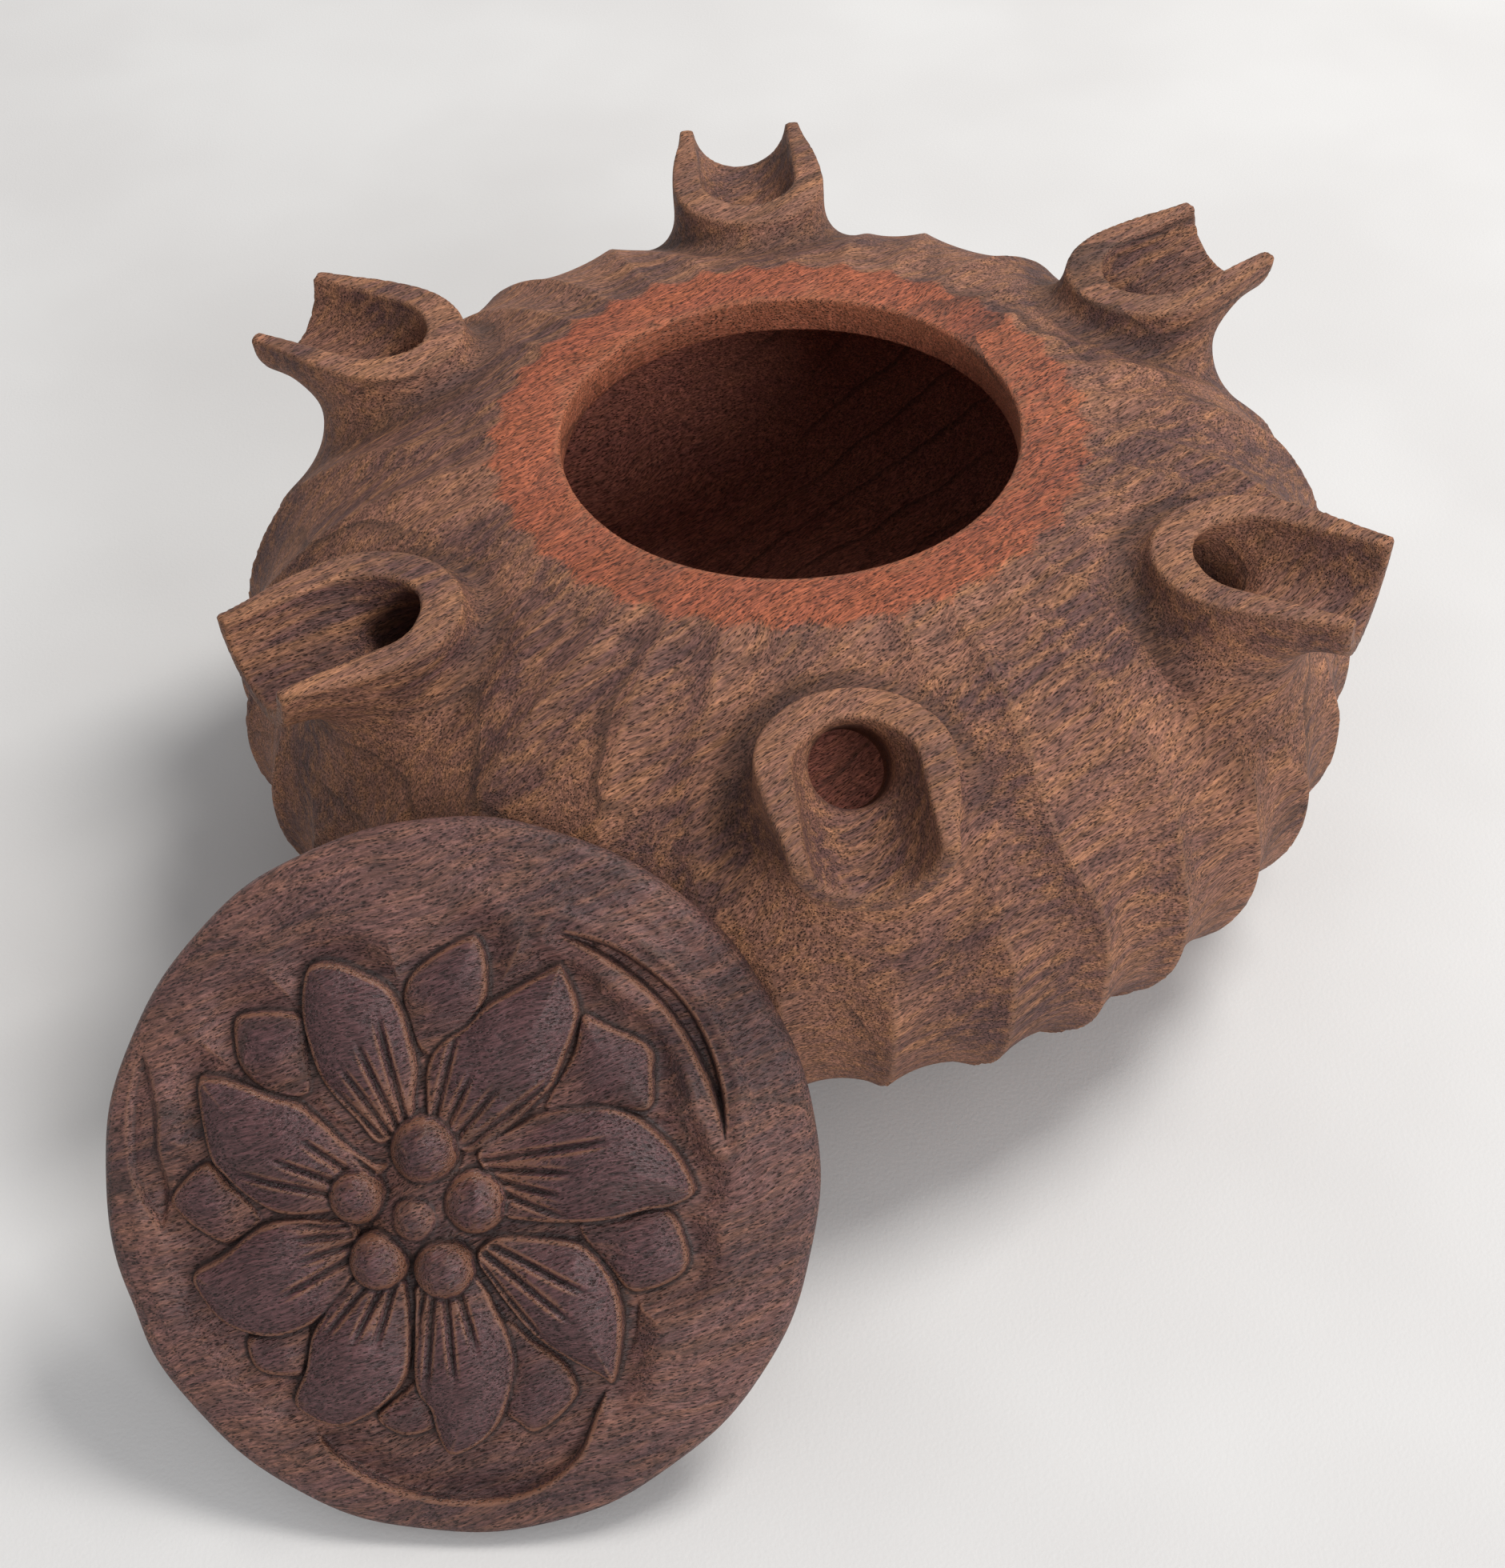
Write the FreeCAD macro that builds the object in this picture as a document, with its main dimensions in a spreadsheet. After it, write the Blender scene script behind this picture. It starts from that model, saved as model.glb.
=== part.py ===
"""Six-spout wooden friendship cup with its lid leaning against it. Millimetres, +Z up, origin at the foot's centre."""
import FreeCAD, Part
import Sketcher
import math
import os

from FreeCAD import Placement, Rotation, Vector

UP = Vector(0, 0, 1)
ORIGIN = Vector(0, 0, 0)

# Driving dimensions. Heights named "drop" are measured down from the plane of the mouth.
SIZES = {
    "cup_height": 82.0,
    "foot_radius": 58.0,
    "foot_step": 2.2,
    "ring_radius": 50.0,
    "shoulder_radius": 70.0,
    "shoulder_reach": 83.0,
    "bulge_reach": 101.8,
    "flute_count": 36,
    "flute_turn": 3.0,
    "gouge_radius": 17.0,
    "gouge_bite": 0.9,
    "mouth_radius": 39.1,
    "mouth_round": 0.9,
    "neck_depth": 6.7,
    "wall": 11.0,
    "ceiling_drop": 11.5,
    "floor_thickness": 10.5,
    "spout_count": 6,
    "spout_turn": -85.4,
    "lip_setback": 1.3,
    "lip_radius": 13.8,
    "rim_rise": 1.4,
    "arch_reach": 66.5,
    "arch_rise": 0.3,
    "neck_setback": 8.3,
    "neck_fall": 9.3,
    "root_inner": 50.0,
    "root_depth": 9.0,
    "root_half_width": 32.0,
    "throat_inner": 63.5,
    "throat_half_width": 21.5,
    "bend_half_width": 15.6,
    "bore_radius": 6.3,
    "bore_slope": 47.0,
    "channel_radius": 9.3,
    "channel_arch": 72.4,
    "lid_radius": 52.7,
    "lid_edge": 5.0,
    "lid_dome": 4.2,
    "ground_radius": 44.5,
    "ground_depth": 1.6,
    "spigot_clearance": 0.6,
    "spigot_depth": 5.0,
    "flower_side": -7.0,
    "flower_down": 6.7,
    "petal_height": 2.4,
    "petal_half_width": 8.2,
    "back_petal_height": 1.5,
    "back_petal_half_width": 6.0,
    "petal_root": 5.0,
    "lean_elevation": 44.1,
    "lean_heading": -91.7,
    "lean_side": -50.9,
    "lean_gap": 0.3,
    "floor_gap": 0.02,
}

# Straight gouge strokes along each flute: over the shoulder, round the bulge and under the belly.
STROKES = (3, 4, 4)

# The carved flower, seen from the lid's front: heading and length of each petal from the flower's middle.
PETALS = ((110.8, 40.8), (58.9, 41.0), (5.9, 42.1), (-37.7, 37.8), (-80.3, 34.6), (-118.0, 32.6), (192.6, 32.2), (146.4, 36.4))
BACK_PETALS = ((77.9, 42.0), (33.7, 41.7), (-8.8, 40.5), (-54.8, 36.1), (-93.1, 31.0), (225.9, 30.6), (173.0, 35.5), (129.9, 39.0))
# Its berries: heading and distance from the flower's middle, and radius.
BERRIES = ((0.0, 0.0, 3.7), (80.3, 10.0, 5.2), (154.8, 9.1, 3.9), (19.2, 9.7, 4.6), (228.2, 7.5, 4.1), (-56.5, 8.5, 4.4))

doc = FreeCAD.newDocument("friendship_cup")
sheet = doc.addObject("Spreadsheet::Sheet", "Sizes")


def fill_sheet():
    """Each driving dimension has a row: its name in column A and its value, under that name, in column B."""
    for row, (name, value) in enumerate(SIZES.items(), start=1):
        sheet.set(f"A{row}", name)
        sheet.set(f"B{row}", str(value))
        sheet.setAlias(f"B{row}", name)
    doc.recompute()


def size(name):
    return float(getattr(sheet, name))


def feature(name, shape):
    made = doc.addObject("Part::Feature", name)
    made.Shape = shape
    return made


def in_plane(reach, height):
    """A point of the XZ half plane, where the profiles are drawn."""
    return Vector(reach, 0, height)


def on_circle(centre, radius, lean):
    """The point of a circle in the XZ plane at an angle in degrees from straight up towards +X."""
    turn = math.radians(lean)
    return in_plane(centre.x + radius * math.sin(turn), centre.z + radius * math.cos(turn))


def turned_copies(shape, count, first):
    """Copies of a shape, spaced evenly round the cup's axis."""
    copies = []
    for number in range(count):
        copy = shape.copy()
        copy.rotate(ORIGIN, UP, first + number * 360.0 / count)
        copies.append(copy)
    return copies


def arc_on_from(start, direction, end):
    """The arc that leaves start along direction and reaches end, as (middle point, direction at end)."""
    chord = end - start
    turn = direction.getAngle(chord)
    side = direction.cross(chord)
    bisector = Rotation(side, math.degrees(turn) / 2).multVec(direction)
    middle = start + bisector * (chord.Length / 2 / math.cos(turn / 2))
    return middle, Rotation(side, math.degrees(turn) * 2).multVec(direction)


# The turned block. Its section is a shoulder arc, a tighter bulge arc and a belly arc down to the foot.
def block_arcs():
    """Centres and radii of the shoulder and bulge arcs, with the angle at which they meet."""
    top = size("cup_height")
    shoulder = size("shoulder_radius")
    meet = math.degrees(math.asin((size("shoulder_reach") - size("ring_radius")) / shoulder))
    slope = math.sin(math.radians(meet))
    bulge = (size("bulge_reach") - size("ring_radius") - shoulder * slope) / (1 - slope)
    shoulder_centre = in_plane(size("ring_radius"), top - shoulder)
    bulge_centre = on_circle(shoulder_centre, shoulder - bulge, meet)
    return shoulder_centre, shoulder, bulge_centre, bulge, meet


def block_height(reach):
    """Height of the turned block's upper surface at a distance from the axis."""
    shoulder_centre, shoulder, bulge_centre, bulge, _ = block_arcs()
    centre, radius = shoulder_centre, shoulder
    if reach > size("shoulder_reach"):
        centre, radius = bulge_centre, bulge
    return centre.z + math.sqrt(radius ** 2 - (reach - centre.x) ** 2)


def block_section():
    """Half section of the turned block, from the axis out and back, as a face."""
    shoulder_centre, shoulder, bulge_centre, bulge, meet = block_arcs()
    ring_edge = on_circle(shoulder_centre, shoulder, 0)
    shoulder_end = on_circle(shoulder_centre, shoulder, meet)
    widest = on_circle(bulge_centre, bulge, 90)
    foot_top = in_plane(size("foot_radius"), size("foot_step"))
    belly_middle, _ = arc_on_from(widest, Vector(0, 0, -1), foot_top)
    foot_edge = in_plane(size("foot_radius"), 0)
    top_centre = in_plane(0, size("cup_height"))
    return Part.Face(Part.Wire([
        Part.makeLine(top_centre, ring_edge),
        Part.Arc(ring_edge, on_circle(shoulder_centre, shoulder, meet / 2), shoulder_end).toShape(),
        Part.Arc(shoulder_end, on_circle(bulge_centre, bulge, (meet + 90) / 2), widest).toShape(),
        Part.Arc(widest, belly_middle, foot_top).toShape(),
        Part.makeLine(foot_top, foot_edge),
        Part.makeLine(foot_edge, ORIGIN),
        Part.makeLine(ORIGIN, top_centre),
    ]))


# The flutes. Each is the cut of a round gouge drawn down a meridian, and neighbours meet in a crisp ridge.
def gouge_lift(reach):
    """How far the gouge's axis stands off the block so that its cut is one flute wide."""
    half_pitch = math.pi * reach / size("flute_count")
    gouge = size("gouge_radius")
    return math.sqrt(gouge ** 2 - half_pitch ** 2) - size("gouge_bite")


def gouge_path():
    """Three arcs that the gouge's axis follows, from its entry by the ring to its exit by the foot."""
    shoulder_centre, shoulder, bulge_centre, bulge, meet = block_arcs()
    gouge = size("gouge_radius")
    entry = on_circle(shoulder_centre, shoulder, 0) + in_plane(-0.4 * gouge, gouge + 1.0)
    half_way = on_circle(shoulder_centre, shoulder, meet / 2)
    half_way = on_circle(shoulder_centre, shoulder + gouge_lift(half_way.x), meet / 2)
    on_shoulder = on_circle(shoulder_centre, shoulder + gouge_lift(size("shoulder_reach")), meet)
    at_widest = on_circle(bulge_centre, bulge + gouge_lift(size("bulge_reach")), 90)
    under = in_plane(size("foot_radius") + 0.25 * gouge, size("foot_step") - gouge)
    first = Part.Arc(entry, half_way, on_shoulder).toShape()
    bulge_middle, along = arc_on_from(on_shoulder, first.tangentAt(first.LastParameter), at_widest)
    belly_middle, along = arc_on_from(at_widest, along, under)
    return [
        first,
        Part.Arc(on_shoulder, bulge_middle, at_widest).toShape(),
        Part.Arc(at_widest, belly_middle, under).toShape(),
    ]


def gouge_strokes():
    """The straight strokes that make one flute: round bars along chords of the gouge's path."""
    strokes = []
    for arc, count in zip(gouge_path(), STROKES):
        span = arc.LastParameter - arc.FirstParameter
        for number in range(count):
            start = arc.valueAt(arc.FirstParameter + span * number / count)
            along = arc.valueAt(arc.FirstParameter + span * (number + 1) / count) - start
            strokes.append(Part.makeCylinder(size("gouge_radius"), 2 * along.Length, start - along / 2, along))
    return strokes


def fluted_block():
    """One sector of the block is cut, and its outer skin is turned round the axis and sewn into a solid."""
    count = int(size("flute_count"))
    pitch = 360.0 / count
    section = block_section()
    section.rotate(ORIGIN, UP, -pitch / 2)
    sector = section.revolve(ORIGIN, UP, pitch).cut(gouge_strokes())
    side = Vector(0, 1, 0)
    walls = [Rotation(UP, turn).multVec(side) for turn in (-pitch / 2, pitch / 2)]
    skin = []
    for face in sector.Faces:
        middle = face.CenterOfMass
        if all(abs(middle.dot(wall)) > 1e-4 for wall in walls):
            skin.append(face)
    faces = turned_copies(Part.Compound(skin), count, size("flute_turn"))
    shell = Part.Shell([face for copy in faces for face in copy.Faces])
    shell.sewShape()
    return Part.Solid(shell).removeSplitter()



# The spouts. Each is a trumpet that leaves the shoulder, bends outward and ends at a plumb lip.
def oval(inner, outer, half_width):
    """A closed oval through two points of the XZ plane, as wide as half_width to each side of it."""
    centre = (inner + outer) * 0.5
    along = (outer - inner) * 0.5
    normal = along.cross(Vector(0, 1, 0))
    normal.normalize()
    frame = FreeCAD.Matrix(
        along.x, 0, normal.x, centre.x,
        along.y, half_width, normal.y, centre.y,
        along.z, 0, normal.z, centre.z,
        0, 0, 0, 1)
    return Part.Wire(Part.makeCircle(1).transformGeometry(frame).Edges)


def quarter(start, end, turn):
    """A point of the quarter ellipse that leaves start upward and reaches end level."""
    angle = math.radians(turn)
    reach = end.x - (end.x - start.x) * math.cos(angle)
    return in_plane(reach, start.z + (end.z - start.z) * math.sin(angle))


def lip_reach():
    return size("bulge_reach") - size("lip_setback")


def rim_height():
    return size("cup_height") + size("rim_rise")


def horn():
    """The spout's outer form, level at its rim, before the channel is cut."""
    lip_top = in_plane(lip_reach(), rim_height() + size("lip_radius"))
    lip_bottom = in_plane(lip_reach(), rim_height() - size("lip_radius"))
    arch = in_plane(size("arch_reach"), size("cup_height") + size("arch_rise"))
    neck = lip_bottom - in_plane(size("neck_setback"), size("neck_fall"))
    root_inner = in_plane(size("root_inner"), block_height(size("root_inner")) - size("root_depth"))
    root_outer = neck - in_plane(0, size("root_depth"))
    throat_inner = in_plane(size("throat_inner"), block_height(size("throat_inner")))
    sections = [
        oval(root_inner, root_outer, size("root_half_width")),
        oval(throat_inner, neck, size("throat_half_width")),
        oval(quarter(arch, lip_top, 30), quarter(neck, lip_bottom, 30), size("bend_half_width")),
        oval(quarter(arch, lip_top, 60), quarter(neck, lip_bottom, 60), size("lip_radius") + 0.5),
        oval(lip_top, lip_bottom, size("lip_radius")),
    ]
    whole = Part.makeLoft(sections, True, True)
    return whole.cut(above_rim(arch))


def above_rim(arch):
    """What is cut away over the rim: a block whose underside runs from the arch up to the lip."""
    reach = lip_reach() - arch.x
    tilt = math.degrees(math.atan((rim_height() - arch.z) / reach))
    over = Part.makeBox(4 * reach, 8 * size("lip_radius"), 4 * size("lip_radius"))
    over.translate(Vector(-2 * reach, -4 * size("lip_radius"), 0))
    over.Placement = Placement(arch, Rotation(Vector(0, 1, 0), -tilt)).multiply(over.Placement)
    return over


def channel():
    """The bore that slants down into the hollow, and the open channel that it widens into."""
    slope = math.radians(size("bore_slope"))
    bore = size("bore_radius")
    outward = in_plane(math.cos(slope), math.sin(slope))
    across = in_plane(math.sin(slope), -math.cos(slope))
    arch = in_plane(size("channel_arch"), size("cup_height") + size("arch_rise"))
    bore_top = arch - in_plane(0, bore / 4)
    bore_end = bore_top + across * bore
    past_lip = lip_reach() + 1.0
    lip_top = in_plane(past_lip, rim_height() + size("channel_radius"))
    lip_floor = in_plane(past_lip, rim_height() - size("channel_radius"))
    bore_floor = bore_end + across * bore
    floor = [bore_floor + (lip_floor - bore_floor) * share for share in (0.3, 0.65)]
    widths = [bore + (size("channel_radius") - bore) * share for share in (0.7, 0.95)]
    sections = [
        oval(bore_top, bore_floor, bore),
        oval(quarter(arch, lip_top, 30), floor[0], widths[0]),
        oval(quarter(arch, lip_top, 60), floor[1], widths[1]),
        oval(lip_top, lip_floor, size("channel_radius")),
    ]
    drilled = size("wall") + 2 * size("lip_radius")
    drill = Part.makeCylinder(bore, drilled, bore_end, outward * -1)
    return Part.makeLoft(sections, True, True).fuse(drill)



def block_with_spouts():
    return fluted_block().fuse(turned_copies(horn(), int(size("spout_count")), size("spout_turn")))


def channels():
    return turned_copies(channel(), int(size("spout_count")), size("spout_turn"))


# Turned pieces are revolved sketches whose corners are bound to the sheet.
class Bound:
    """A size with the sheet expression that gives it, so that a sketch can be drawn and then bound."""

    def __init__(self, value, text):
        self.value = value
        self.text = text

    def __add__(self, other):
        return Bound(self.value + other.value, f"({self.text} + {other.text})")

    def __sub__(self, other):
        return Bound(self.value - other.value, f"({self.text} - {other.text})")

    def __mul__(self, number):
        return Bound(self.value * number, f"{self.text} * {number}")


ZERO = Bound(0.0, "0")


def bound(name):
    return Bound(size(name), f"Sizes.{name}")


def origin_item(body, role):
    return next(item for item in body.Origin.OriginFeatures if item.Role == role)


def bind(sketch, constraint, text):
    number = sketch.addConstraint(constraint)
    sketch.setExpression(f"Constraints[{number}]", text)


def place_corner(sketch, edge, end, corner):
    """Bind one corner's distances from the axis and from the ground line."""
    for name, line, distance in (("DistanceX", -2, corner[0]), ("DistanceY", -1, corner[1])):
        if distance is ZERO:
            sketch.addConstraint(Sketcher.Constraint("PointOnObject", edge, end, line))
        else:
            bind(sketch, Sketcher.Constraint(name, -1, 1, edge, end, distance.value), distance.text)


def turned(body, name, corners, rounds):
    """Revolve a closed half section. rounds holds each round edge's middle point and the reach of its centre."""
    sketch = body.newObject("Sketcher::SketchObject", name + "_section")
    sketch.AttachmentSupport = [(origin_item(body, "XZ_Plane"), "")]
    sketch.MapMode = "FlatFace"
    points = [Vector(corner[0].value, corner[1].value, 0) for corner in corners]
    ends = []
    for number, start in enumerate(points):
        finish = points[(number + 1) % len(points)]
        if number in rounds:
            middle = rounds[number][0]
            middle = Vector(middle[0].value, middle[1].value, 0)
            backward = (middle - start).cross(finish - middle).z < 0
            edge = Part.Arc(finish, middle, start) if backward else Part.Arc(start, middle, finish)
            ends.append((2, 1) if backward else (1, 2))
        else:
            edge = Part.LineSegment(start, finish)
            ends.append((1, 2))
        sketch.addGeometry(edge)
    for number, corner in enumerate(corners):
        following = (number + 1) % len(corners)
        sketch.addConstraint(Sketcher.Constraint("Coincident", number, ends[number][1], following, ends[following][0]))
        place_corner(sketch, number, ends[number][0], corner)
        if number in rounds:
            reach = rounds[number][1]
            bind(sketch, Sketcher.Constraint("DistanceX", -1, 1, number, 3, reach.value), reach.text)
    revolution = body.newObject("PartDesign::Revolution", name)
    revolution.Profile = sketch
    revolution.ReferenceAxis = (sketch, ["V_Axis"])
    revolution.Angle = 360
    doc.recompute()
    return revolution


def hollow():
    """The turned hollow: a cavity with straight turned walls under the neck, and the mouth's eased edge."""
    body = doc.addObject("PartDesign::Body", "hollow")
    top = bound("cup_height")
    ease = bound("mouth_round")
    neck = bound("mouth_radius")
    floor = bound("floor_thickness")
    ceiling = top - bound("ceiling_drop")
    reach = bound("bulge_reach") - bound("wall")
    bevel = (ceiling - floor) * (1 - math.sqrt(0.5))
    over = top + bound("neck_depth")
    corners = [
        (ZERO, floor),
        (reach - bevel, floor),
        (reach, floor + bevel),
        (reach, ceiling - bevel),
        (reach - bevel, ceiling),
        (neck, top - bound("neck_depth")),
        (neck, top - ease),
        (neck + ease, top),
        (neck + ease, over),
        (ZERO, over),
    ]
    eased_middle = (neck + ease * (1 - math.sqrt(0.5)), top - ease * (1 - math.sqrt(0.5)))
    turned(body, "turned_hollow", corners, {6: (eased_middle, neck + ease)})
    return body


def cup():
    """The block with its spouts, less the turned hollow, less the bored channels."""
    block = feature("block_with_spouts", block_with_spouts())
    hollowed = block.Shape.cut(hollow().Shape)
    return feature("cup_body", hollowed.cut(channels()))


# The lid, in its own frame: +Z out of its carved face, +Y up its slope, its underside's rim at Z = 0.
def dome_radius():
    """Radius of the sphere that the lid's upper face is turned to."""
    reach = size("lid_radius") - size("lid_edge") / 2
    return (reach ** 2 + size("lid_dome") ** 2) / (2 * size("lid_dome"))


def ground_height(reach):
    """Height of the sunk ground round the flower, at a distance from the lid's axis."""
    radius = dome_radius()
    centre = size("lid_edge") + size("lid_dome") - radius
    return centre + math.sqrt((radius - size("ground_depth")) ** 2 - reach ** 2)


def lid_disc():
    """The turned disc: spigot below, full-round edge, domed ring and sunk ground."""
    half_edge = size("lid_edge") / 2
    rim = size("lid_radius") - half_edge
    ground = size("ground_radius")
    dome = dome_radius()
    dome_centre = in_plane(0, size("lid_edge") + size("lid_dome") - dome)
    spigot = size("mouth_radius") - size("spigot_clearance")
    spigot_end = -size("spigot_depth")
    dome_lean = math.degrees(math.asin(ground / dome))
    edge_lean = math.degrees(math.asin(rim / dome))
    ring_inner = on_circle(dome_centre, dome, dome_lean)
    ground_outer = in_plane(ground, ground_height(ground))
    ground_middle = in_plane(ground / 2, ground_height(ground / 2))
    ground_top = in_plane(0, ground_height(0))
    section = Part.Wire([
        Part.makeLine(in_plane(0, spigot_end), in_plane(spigot, spigot_end)),
        Part.makeLine(in_plane(spigot, spigot_end), in_plane(spigot, 0)),
        Part.makeLine(in_plane(spigot, 0), in_plane(rim, 0)),
        Part.Arc(in_plane(rim, 0), in_plane(rim + half_edge, half_edge), in_plane(rim, 2 * half_edge)).toShape(),
        Part.Arc(
            in_plane(rim, 2 * half_edge),
            on_circle(dome_centre, dome, (dome_lean + edge_lean) / 2),
            ring_inner).toShape(),
        Part.makeLine(ring_inner, ground_outer),
        Part.Arc(ground_outer, ground_middle, ground_top).toShape(),
        Part.makeLine(ground_top, in_plane(0, spigot_end)),
    ])
    return Part.Face(section).revolve(ORIGIN, UP, 360)


def flower_middle():
    return Vector(size("flower_side"), -size("flower_down"), 0)


def at_heading(heading, distance):
    turn = math.radians(heading)
    return flower_middle() + Vector(math.cos(turn), math.sin(turn), 0) * distance


def petal(heading, length, half_width, height):
    """A leaf outline cut from a round bar that lies along it, so its back is arched and its edges are crisp."""
    root = at_heading(heading, size("petal_root"))
    tip = at_heading(heading, length)
    side = UP.cross(tip - root)
    side.normalize()
    widest = root + (tip - root) * 0.55
    leaf = Part.Face(Part.Wire([
        Part.Arc(root, widest + side * half_width, tip).toShape(),
        Part.Arc(tip, widest - side * half_width, root).toShape(),
    ]))
    bar = (half_width ** 2 + height ** 2) / (2 * height)
    start = root + UP * (ground_height(root.Length) + height - bar)
    end = tip + UP * (ground_height(tip.Length) + 0.6 * height - bar)
    along = end - start
    arched = Part.makeCylinder(bar, 2 * along.Length, start - along / 2, along)
    leaf.translate(UP * (size("lid_edge") / 2))
    return leaf.extrude(UP * (size("lid_edge") + size("lid_dome"))).common(arched)


def flower():
    """Petals in front, smaller ones between and behind them, and berries on the middle."""
    pieces = []
    for heading, length in PETALS:
        pieces.append(petal(heading, length, size("petal_half_width"), size("petal_height")))
    for heading, length in BACK_PETALS:
        pieces.append(petal(heading, length, size("back_petal_half_width"), size("back_petal_height")))
    for heading, distance, radius in BERRIES:
        place = at_heading(heading, distance)
        pieces.append(Part.makeSphere(radius, place + UP * ground_height(place.Length)))
    return pieces


# The lid leans on the cup: its edge stands on the floor and its spigot's edge meets the bulge.
def lean_rotation():
    heading, elevation = math.radians(size("lean_heading")), math.radians(size("lean_elevation"))
    level = math.cos(elevation)
    out = Vector(level * math.cos(heading), level * math.sin(heading), math.sin(elevation))
    across = Vector(-math.sin(heading), math.cos(heading), 0)
    return Rotation(across, out.cross(across), out, "ZXY")


def lean_placement(wall):
    """Slide the lid towards the cup until its spigot's edge is the lean gap away from it."""
    rotation = lean_rotation()
    half_edge = size("lid_edge") / 2
    slope = math.cos(math.radians(size("lean_elevation")))
    rise = (size("lid_radius") - half_edge) * slope + half_edge + size("floor_gap")
    middle = Vector(size("lean_side"), -3 * size("bulge_reach"), rise)
    spigot = size("mouth_radius") - size("spigot_clearance")
    out = rotation.multVec(UP)
    back = out * (half_edge + size("spigot_depth"))
    for _ in range(60):
        edge = Part.makeCircle(spigot, middle - back, out)
        apart = edge.distToShape(wall)[0] - size("lean_gap")
        if abs(apart) < 0.005:
            break
        middle.y += apart
    return Placement(middle - out * half_edge, rotation)


def lid(wall):
    """The disc with its flower joined on piece by piece, then set leaning."""
    carved = lid_disc()
    for piece in flower():
        carved = carved.fuse(piece)
    cover = feature("lid", carved)
    cover.Placement = lean_placement(wall)
    return cover


def build():
    """Both nodes: the cup, and the lid placed against the cup's carved outside."""
    fill_sheet()
    body = cup()
    cover = lid(doc.getObject("block_with_spouts").Shape)
    doc.recompute()
    return [body, cover]


def write(nodes):
    """Save each node to its own file once the whole document is sound."""
    for item in doc.Objects:
        if "Invalid" in item.State or "Error" in item.State:
            raise RuntimeError(f"{item.Name} failed: {item.State}")
    os.makedirs("parts", exist_ok=True)
    for node in nodes:
        if node.Shape.isNull() or not node.Shape.isValid() or len(node.Shape.Solids) != 1:
            raise RuntimeError(f"{node.Label} is not one sound solid")
        node.Shape.exportStep(f"parts/{node.Label}.step")
        print(node.Label, round(node.Shape.Volume), node.Shape.BoundBox)


write(build())
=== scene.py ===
"""The looks of a carved friendship cup: cup, lid, oiled wood, soft light and the photo's camera."""
import math

import bpy
import numpy as np
import openvdb
from mathutils import Matrix, Vector


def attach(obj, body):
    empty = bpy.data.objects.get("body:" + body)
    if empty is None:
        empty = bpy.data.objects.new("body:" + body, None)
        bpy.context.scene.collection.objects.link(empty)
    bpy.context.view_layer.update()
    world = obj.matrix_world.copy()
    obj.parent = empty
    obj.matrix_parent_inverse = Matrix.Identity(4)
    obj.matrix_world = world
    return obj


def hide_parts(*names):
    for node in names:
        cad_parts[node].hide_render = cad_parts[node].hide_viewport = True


MM = 0.001
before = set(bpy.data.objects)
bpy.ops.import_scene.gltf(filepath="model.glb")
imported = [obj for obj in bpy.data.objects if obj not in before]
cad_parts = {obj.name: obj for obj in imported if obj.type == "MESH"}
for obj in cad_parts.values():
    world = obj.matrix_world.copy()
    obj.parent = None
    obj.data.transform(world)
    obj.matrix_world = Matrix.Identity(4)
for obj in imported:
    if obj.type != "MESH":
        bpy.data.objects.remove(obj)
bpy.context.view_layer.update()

# The cup, in millimetres from the centre of its foot. The block's turning axis stands a little to the left.
TOP = 82.0
RING_REACH = 50.0
BULGE_REACH = 101.8
BULGE_HEIGHT = 39.5
BLOCK_SHIFT = 0.7
FOOT_RADIUS = 58.0
FOOT_STEP = 2.2

# The flutes: the gouge that cuts them, and where its path enters under the ring and leaves at the foot.
FLUTES = 36
FLUTE_TURN = 3.0
FLUTE_SPREAD = 3.5
GOUGE = 14.5
BITE = 0.9
ENTRY_RADIUS = 48.5
ENTRY_SLOPE = 0.22
LEAVING_HEIGHT = 5.0
LEAVING_SLOPE = 0.25

# The scoop that the carver has cut round each spout: a ball-shaped hollow, a little longer outward.
SCOOP_DEPTH = 5.9
SCOOP_RADIUS = 31.2
SCOOP_REACH = 84.0
SCOOP_HEIGHT = 71.0
SCOOP_STRETCH = 1.12

# The spouts, each with an open channel that narrows into a slanting bore.
SPOUT_TURN = -85.4
SPOUT_STRAY = (1.24, -1.74, -0.68, 0.32, 1.69, -0.79)
SPOUTS = len(SPOUT_STRAY)
SPOUT_PITCH = 360 / SPOUTS
LIP_REACH = 100.5
LIP_RADIUS = 12.4
WIDER_BEHIND = 0.8
NARROWER_AHEAD = 0.6
RIM_RISE = 1.4
ARCH_CENTRE = 80.8
CHANNEL_RADIUS = 9.3
CHANNEL_CENTRE = 81.7
CHANNEL_RISE = 0.6
BORE_RADIUS = 6.3
BORE_START = 76.6
BORE_DROP = 5.2
BORE_LENGTH = 34.0
BORE_SLOPE = math.radians(47.0)
LIP_SWELL = 0.9
SWELL_REACH = 90.0
SWELL_WIDTH = 5.5
TRUNK_RADIUS = 13.8
TRUNK_ROOT_RADIUS = 17.5
TRUNK_ROOT_REACH = 73.0
TRUNK_ROOT_DROP = 26.0

# The hollow: a neck, a ceiling that falls outward, and a turned cave with rounded corners.
MOUTH_RADIUS = 39.1
NECK_DEPTH = 6.7
NECK_OVERLAP = 8.0
WALL = 11.0
THIN_WALL = 7.0
FLOOR = 10.5
CAVE_TOP = 70.5
CAVE_CORNER = 28.0
CEILING_FALL = 0.35
CEILING_STEEP = 0.94
UNDERCUT_RADIUS = 58.0
UNDERCUT_HEIGHT = 50.0

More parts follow.
